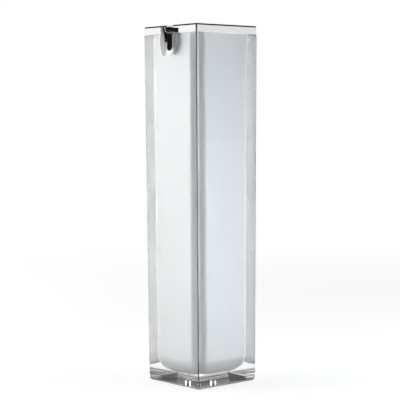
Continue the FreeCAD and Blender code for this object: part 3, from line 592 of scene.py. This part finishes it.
def make_frame():
    half = frame_high.x
    opening = button_high.x + OPENING_GAP
    corner = BUTTON_CORNER + OPENING_GAP
    outer = [
        Vector((-half, -NOTCH_HALF)),
        Vector((-half, -half + EDGE_BREAK)),
        Vector((-half + EDGE_BREAK, -half)),
        Vector((half - EDGE_BREAK, -half)),
        Vector((half, -half + EDGE_BREAK)),
        Vector((half, half - EDGE_BREAK)),
        Vector((half - EDGE_BREAK, half)),
        Vector((-half + EDGE_BREAK, half)),
        Vector((-half, half - EDGE_BREAK)),
        Vector((-half, NOTCH_HALF)),
    ]
    inner = rounded_square(opening, corner, CORNER_STEPS)
    start = next(n for n, point in enumerate(inner) if point.x < -opening + corner and point.y > 0)
    turned = inner[start:] + inner[:start]
    after_notch = [point for point in turned if point.x <= -opening + corner and point.y > 0]
    rest = [point for point in turned if point not in after_notch]
    inside = [
        Vector((-opening, NOTCH_HALF)),
        *after_notch[::-1],
        *rest[::-1],
        Vector((-opening, -NOTCH_HALF)),
    ]
    low = shell_high.z + AIR_GAP
    build = prism(
        outer + inside,
        lambda point: Vector((point.x, point.y, low)),
        Vector((0, 0, frame_high.z - low)),
    )
    rim = [
        edge
        for edge in sharp_edges(build, SQUARE_FROM)
        if all(
            vert.co.z > frame_high.z - NEARLY and max(abs(vert.co.x), abs(vert.co.y)) > half - NEARLY
            for vert in edge.verts
        )
    ]
    bevel(build, rim, FRAME_BREAK, FRAME_STEPS)
    above_seat = [
        edge for edge in sharp_edges(build) if any(vert.co.z > low + NEARLY for vert in edge.verts)
    ]
    bevel(build, above_seat, FINE_BREAK, FINE_STEPS)
    mesh = mesh_of("chrome_frame", build, FRAME_SHARP)
    keep_flat(piece_of("chrome_frame", mesh, "chrome", "bottle", "cap_frame"))


def make_button():
    half = button_high.x
    build = prism(
        rounded_square(half, BUTTON_CORNER, CORNER_STEPS),
        lambda point: Vector((point.x, point.y, button_low.z)),
        Vector((0, 0, button_high.z - button_low.z)),
    )
    rim = [
        edge
        for edge in sharp_edges(build)
        if all(vert.co.z > button_high.z - NEARLY for vert in edge.verts)
    ]
    bevel(build, rim, BUTTON_BREAK, BUTTON_STEPS)
    mesh = mesh_of("chrome_button", build)
    keep_flat(piece_of("chrome_button", mesh, "chrome", "actuator", "button_plate"))


def make_bezel():
    half = bezel_high.y
    middle = bezel_low.z + half
    outer = slot_outline(half + CONTACT, middle, shell_high.z)
    inner = slot_outline(half - BEZEL_WALL, middle + BEZEL_SILL, shell_high.z)
    build = prism(
        outer + inner[::-1],
        lambda point: Vector((bezel_low.x, point.x, point.y)),
        Vector((bezel_high.x - bezel_low.x, 0, 0)),
    )
    bevel(build, sharp_edges(build, SQUARE_FROM), BEZEL_BREAK)
    mesh = mesh_of("chrome_bezel", build)
    keep_flat(piece_of("chrome_bezel", mesh, "chrome", "bottle", "slot_bezel"))


# Spout: a leaf of rows across its height, joined with a neck

def leaf_row(share):
    """Level, half width and the front's and back's places of the leaf, at a share of its height."""
    low, high = spout_low.z, spout_high.z - LEAF_LEAN
    level = low + share * (high - low)
    waist = low + WAIST_SHARE * (high - low)
    above = level > waist
    reach = (level - waist) / ((high if above else low) - waist)
    end_half = LEAF_HEAD_HALF if above else LEAF_TIP_HALF
    bow = (1 - math.sqrt(1 - LEAF_BOW_SHARE * reach**2)) / (1 - math.sqrt(1 - LEAF_BOW_SHARE))
    half = LEAF_HALF - (LEAF_HALF - end_half) * bow
    curl = (LEAF_LEAN if above else TIP_CURL) * reach**2
    back_curl = 0 if above else TIP_CURL * TIP_BACK_SHARE * reach**2
    front = spout_low.x + curl
    back = spout_low.x + LEAF_THICK + back_curl
    return level, half, front, back


def make_spout():
    rings = []
    for row in range(LEAF_ROWS + 1):
        level, half, front, back = leaf_row(row / LEAF_ROWS)
        ring = []
        for step in range(LEAF_STEPS + 1):
            across = -1 + 2 * step / LEAF_STEPS
            ring.append((front + LEAF_CROWN * across**2, LEAF_FRONT_SHARE * half * across, level))
        for step in range(LEAF_STEPS + 1):
            across = 1 - 2 * step / LEAF_STEPS
            ring.append((back, half * across, level))
        rings.append(ring)
    build = skinned(rings)
    bevel(build, sharp_edges(build), LEAF_BREAK, LEAF_EDGE_STEPS)
    neck_top = core_high.z
    neck_front = spout_low.x + LEAF_THICK - NECK_SINK
    neck = prism(
        [
            Vector((-NECK_HALF, neck_top - NECK_HEIGHT)),
            Vector((NECK_HALF, neck_top - NECK_HEIGHT)),
            Vector((NECK_HALF, neck_top)),
            Vector((-NECK_HALF, neck_top)),
        ],
        lambda point: Vector((neck_front, point.x, point.y)),
        Vector((spout_high.x - neck_front, 0, 0)),
    )
    bevel(neck, sharp_edges(neck), NECK_BREAK)
    mesh = mesh_of("chrome_spout", combined("chrome_spout", build, neck, "UNION"))
    piece = piece_of("chrome_spout", mesh, "chrome", "actuator", "spout")
    piece.data.materials[0] = etched_and_shaded_chrome()


def make_spring():
    """The CAD spring's own form as a piece on the bottle, with a mesh of its own."""
    mesh = frame["nodes"]["return_spring"].data.copy()
    mesh.materials.clear()
    piece = piece_of("squeezed_spring", mesh, "spring_steel", "bottle", "return_spring")
    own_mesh(piece)


make_liner()
make_shell()
make_frame()
make_button()
make_bezel()
make_spout()
make_spring()


# Studio: pale floor, white surround with a dark zone behind the camera and overhead, soft lamps

# Camera fitted to the bottle's corners: place in metres, turns, lens in millimetres on a 36 mm sensor,
# and how far the picture's middle is off the lens's axis
EYE = Vector((-0.36804, -0.42202, 0.10941))
HEADING = math.radians(41.093)
PITCH = math.radians(-3.466)
ROLL = math.radians(-0.307)
LENS = 121.67
SENSOR = 36.0
CLIP_START = 10 * MM
FRAME_PIXELS = 400
AXIS_PIXELS = 1.29
# What metal and glass show: white round about, dark towards the camera and overhead, which sets in
# sooner in metal
DARK_HEADING = math.radians(232)
DARK_FULL = math.radians(34)
DARK_END = math.radians(56)
OVERHEAD_START = math.radians(8)
OVERHEAD_FULL = math.radians(42)
METAL_FULL = math.radians(12)
DARK_LEVEL = 0.02
# What lights matt surfaces: a plain level, with less from the camera's side and from overhead.
# FRONT_START is the cosine to the camera's side at which the level begins to fall
LIGHT_LEVEL = 0.75
FRONT_LEVEL = 0.02
FRONT_START = -0.2
TOP_SHARE = 0.35
TOP_START = math.radians(20)
TOP_FULL = math.radians(60)
# The right side shows a little dimmer in metal
SIDE_HEADING = math.radians(311)
SIDE_LEVEL = 0.8
SIDE_FULL = math.radians(30)
SIDE_END = math.radians(60)
# Floor: its size and how far it lies under the bottle, its glow and its tone
FLOOR_RADIUS = 4.0
FLOOR_STEPS = 64
FLOOR_DROP = 0.1 * MM
FLOOR_GLOW = 0.965
FLOOR_TONE = 0.08
# Towards the camera more of the floor's white is lit and less glows, least near the bottle where the
# lamps reach it, which leaves the shadow on it
SEEN_TONE = 0.35
NEAR_GLOW = 0.755
FAR_GLOW = 0.9
NEAR_REACH = 150 * MM
FAR_REACH = 750 * MM
# The floor's share of its glow seen through the clear wall, in the bottle's own shade
THROUGH_SHARE = 0.95
# The path depth above which light has met a matt surface
MATT_DEPTH = 0.5
# Soft lamps of both sides. They stand beside the headings that the side faces mirror, 131 and 311
# degrees, so that the clear base does not show them
LEFT_LAMP = {"distance": 0.5, "level": 0.09, "width": 0.2, "height": 0.25, "colour": (1.0, 1.0, 1.0)}
RIGHT_LAMP = {"distance": 0.3, "level": 0.03, "width": 0.12, "height": 0.1, "colour": (0.91, 0.96, 1.0)}


def make_camera():
    data = bpy.data.cameras.new("camera")
    data.sensor_width = SENSOR
    data.lens = LENS
    data.shift_x = -AXIS_PIXELS / FRAME_PIXELS
    data.clip_start = CLIP_START
    camera = bpy.data.objects.new("camera", data)
    scene.collection.objects.link(camera)
    forward = Vector(
        (math.sin(HEADING) * math.cos(PITCH), math.cos(HEADING) * math.cos(PITCH), math.sin(PITCH))
    )
    right = forward.cross(Vector((0, 0, 1))).normalized()
    up = right.cross(forward)
    rolled_right = right * math.cos(ROLL) + up * math.sin(ROLL)
    rolled_up = up * math.cos(ROLL) - right * math.sin(ROLL)
    turn = Matrix((rolled_right, rolled_up, -forward)).transposed()
    camera.matrix_world = Matrix.Translation(EYE) @ turn.to_4x4()
    scene.camera = camera


def facing(tree, direction, heading):
    """How far a level direction faces a heading, as the cosine between them."""
    node = tree.nodes.new("ShaderNodeVectorMath")
    node.operation = "DOT_PRODUCT"
    node.inputs[1].default_value = (math.cos(heading), math.sin(heading), 0.0)
    tree.links.new(direction, node.inputs[0])
    return node.outputs["Value"]


def make_world():
    world = bpy.data.worlds.new("studio")
    scene.world = world
    world.use_nodes = True
    tree = world.node_tree
    tree.nodes.clear()
    coords = tree.nodes.new("ShaderNodeTexCoord")
    apart = tree.nodes.new("ShaderNodeSeparateXYZ")
    tree.links.new(coords.outputs["Generated"], apart.inputs["Vector"])
    level = add(tree, "ShaderNodeCombineXYZ")
    tree.links.new(apart.outputs["X"], level.inputs["X"])
    tree.links.new(apart.outputs["Y"], level.inputs["Y"])
    flat = tree.nodes.new("ShaderNodeVectorMath")
    flat.operation = "NORMALIZE"
    tree.links.new(level.outputs["Vector"], flat.inputs[0])
    front = facing(tree, flat.outputs["Vector"], DARK_HEADING)
    behind = stepped(tree, front, math.cos(DARK_END), math.cos(DARK_FULL), 1.0, DARK_LEVEL)
    height = apart.outputs["Z"]
    above = stepped(tree, height, math.sin(OVERHEAD_START), math.sin(OVERHEAD_FULL), 1.0, DARK_LEVEL)
    sooner = stepped(tree, height, math.sin(OVERHEAD_START), math.sin(METAL_FULL), 1.0, DARK_LEVEL)
    path = tree.nodes.new("ShaderNodeLightPath")
    in_metal = path.outputs["Is Glossy Ray"]
    dark_top = tree.nodes.new("ShaderNodeMix")
    tree.links.new(in_metal, dark_top.inputs["Factor"])
    tree.links.new(above, dark_top.inputs["A"])
    tree.links.new(sooner, dark_top.inputs["B"])
    side = facing(tree, flat.outputs["Vector"], SIDE_HEADING)
    beside = stepped(tree, side, math.cos(SIDE_END), math.cos(SIDE_FULL), 0.0, 1 - SIDE_LEVEL)
    dimmed = math_of(tree, "SUBTRACT", 1.0, math_of(tree, "MULTIPLY", beside, in_metal))
    dark_parts = math_of(tree, "MULTIPLY", behind, dark_top.outputs["Result"])
    round_about = math_of(tree, "MULTIPLY", dark_parts, dimmed)
    shown = math_of(tree, "MAXIMUM", path.outputs["Is Camera Ray"], round_about)
    top = stepped(tree, height, math.sin(TOP_START), math.sin(TOP_FULL), 1.0, TOP_SHARE)
    sides = stepped(tree, front, FRONT_START, math.cos(DARK_FULL), LIGHT_LEVEL, FRONT_LEVEL)
    light = math_of(tree, "MULTIPLY", sides, top)
    lit = math_of(tree, "GREATER_THAN", path.outputs["Diffuse Depth"], MATT_DEPTH)
    strength = tree.nodes.new("ShaderNodeMix")
    tree.links.new(lit, strength.inputs["Factor"])
    tree.links.new(shown, strength.inputs["A"])
    tree.links.new(light, strength.inputs["B"])
    background = add(tree, "ShaderNodeBackground", Color=(1, 1, 1, 1))
    tree.links.new(strength.outputs["Result"], background.inputs["Strength"])
    output = tree.nodes.new("ShaderNodeOutputWorld")
    tree.links.new(background.outputs["Background"], output.inputs["Surface"])


def make_floor():
    material = bpy.data.materials.new("pale_floor")
    material.use_nodes = True
    tree = material.node_tree
    tree.nodes.clear()
    path = tree.nodes.new("ShaderNodeLightPath")
    camera = path.outputs["Is Camera Ray"]
    matte = tree.nodes.new("ShaderNodeBsdfDiffuse")
    tone = stepped(tree, camera, 0.0, 1.0, FLOOR_TONE, SEEN_TONE)
    tree.links.new(tone, matte.inputs["Color"])
    seen = math_of(tree, "LESS_THAN", path.outputs["Diffuse Depth"], MATT_DEPTH)
    glow = add(tree, "ShaderNodeEmission", Color=(1, 1, 1, 1))
    shaded = math_of(tree, "MULTIPLY", path.outputs["Is Transmission Ray"], 1 - THROUGH_SHARE)
    coords = tree.nodes.new("ShaderNodeTexCoord")
    distance = tree.nodes.new("ShaderNodeVectorMath")
    distance.operation = "LENGTH"
    tree.links.new(coords.outputs["Object"], distance.inputs[0])
    white = tree.nodes.new("ShaderNodeMix")
    white.inputs["A"].default_value = FLOOR_GLOW
    tree.links.new(camera, white.inputs["Factor"])
    seen_glow = stepped(tree, distance.outputs["Value"], NEAR_REACH, FAR_REACH, NEAR_GLOW, FAR_GLOW)
    tree.links.new(seen_glow, white.inputs["B"])
    level = math_of(tree, "MULTIPLY", math_of(tree, "SUBTRACT", 1.0, shaded), white.outputs["Result"])
    tree.links.new(math_of(tree, "MULTIPLY", seen, level), glow.inputs["Strength"])
    both = tree.nodes.new("ShaderNodeAddShader")
    tree.links.new(matte.outputs["BSDF"], both.inputs[0])
    tree.links.new(glow.outputs["Emission"], both.inputs[1])
    output = tree.nodes.new("ShaderNodeOutputMaterial")
    tree.links.new(both.outputs["Shader"], output.inputs["Surface"])
    build = bmesh.new()
    bmesh.ops.create_circle(build, cap_ends=True, segments=FLOOR_STEPS, radius=FLOOR_RADIUS)
    mesh = bpy.data.meshes.new("floor")
    build.to_mesh(mesh)
    build.free()
    mesh.materials.append(material)
    floor = bpy.data.objects.new("floor", mesh)
    floor.location.z = -FLOOR_DROP
    scene.collection.objects.link(floor)


def make_lamp(name, heading, power, distance, level, width, height, colour):
    """A soft lamp that stands round the bottle at a heading. It does not show in metal."""
    data = bpy.data.lights.new(name, "AREA")
    data.shape = "RECTANGLE"
    data.size = width
    data.size_y = height
    data.energy = power
    data.color = colour
    lamp = bpy.data.objects.new(name, data)
    turn = math.radians(heading)
    lamp.location = (distance * math.cos(turn), distance * math.sin(turn), level)
    aim = Vector((0, 0, level)) - lamp.location
    lamp.rotation_euler = aim.to_track_quat("-Z", "Y").to_euler()
    lamp.visible_glossy = False
    scene.collection.objects.link(lamp)


scene.view_settings.view_transform = "Standard"
make_camera()
make_world()
make_floor()
make_lamp("left_back_lamp", heading=112, power=1.5, **LEFT_LAMP)
make_lamp("left_front_lamp", heading=146, power=2.6, **LEFT_LAMP)
make_lamp("right_back_lamp", heading=330, power=0.53, **RIGHT_LAMP)
make_lamp("right_front_lamp", heading=296, power=1.18, **RIGHT_LAMP)
